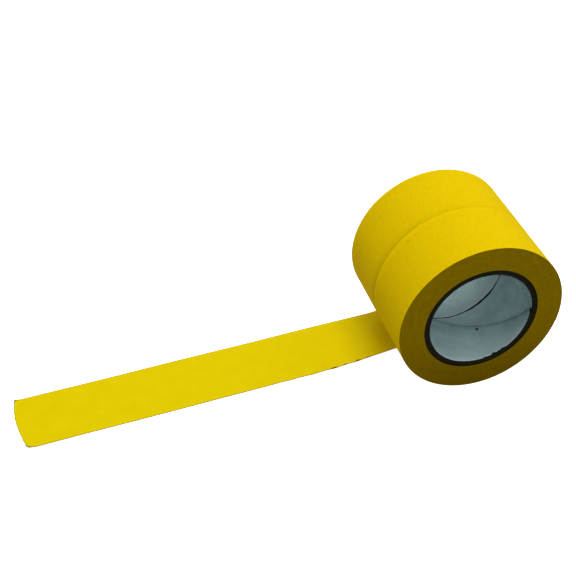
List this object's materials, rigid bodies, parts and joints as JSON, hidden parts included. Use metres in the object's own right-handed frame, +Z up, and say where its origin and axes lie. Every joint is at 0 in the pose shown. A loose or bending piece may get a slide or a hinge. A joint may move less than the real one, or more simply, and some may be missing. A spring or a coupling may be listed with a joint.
{
  "type": "masking tape rolls",
  "caption": "Rolls of creped paper masking tape on board cores, standing side by side on their treads, with a strip pulled out flat along the floor from under the rear roll.",
  "frame": {"origin": "middle of the whole model's footprint, on the floor that the rolls stand on", "axes": "+X away from the pulled-out strip's free end, +Y along the rolls' common axis from the front roll to the rear roll, +Z up"},
  "size_m": [0.3852, 0.1002, 0.1226],
  "materials": {
    "tape_back": "creped, saturated paper with a dull sheen",
    "tape_adhesive": "creped paper under a thin coat of rubber adhesive",
    "liner_paper": "matt white paper",
    "core_board": "matt grey-brown recycled board"
  },
  "bodies": {
    "front_roll": {"front_tape_winding": "tape_back", "front_core_liner": "liner_paper", "front_core_board_ply_1": "core_board", "front_core_board_ply_2": "core_board", "front_core_board_ply_3": "core_board", "front_core_board_ply_4": "core_board"},
    "tape_peel": {"rear_tape_peel_bend": "tape_adhesive"},
    "rear_roll": {"rear_tape_winding": "tape_back", "rear_core_liner": "liner_paper", "rear_core_board_ply_1": "core_board", "rear_core_board_ply_2": "core_board", "rear_core_board_ply_3": "core_board", "rear_core_board_ply_4": "core_board"},
    "tape_tail": {"rear_tape_tail": "tape_adhesive"}
  },
  "joints": [
    {"name": "rolls_apart", "type": "slide", "parent": "front_roll", "child": "tape_peel", "axis": [0, 1, 0], "range_m": [0, 0.06]},
    {"name": "rear_roll_spin", "type": "hinge", "parent": "tape_peel", "child": "rear_roll", "pos_m": [0.13133, 0.02515, 0.0613], "axis": [0, 1, 0], "range_deg": [-140, 281]},
    {"name": "tape_feed", "type": "slide", "parent": "tape_peel", "child": "tape_tail", "axis": [-0.9973, -0.0741, 0], "range_m": [-0.15, 0.301], "deforming": ["rear_tape_tail"]}
  ],
  "couplings": [
    {"joint": "tape_feed", "follows": "rear_roll_spin", "m_per_rad": 0.0613}
  ]
}
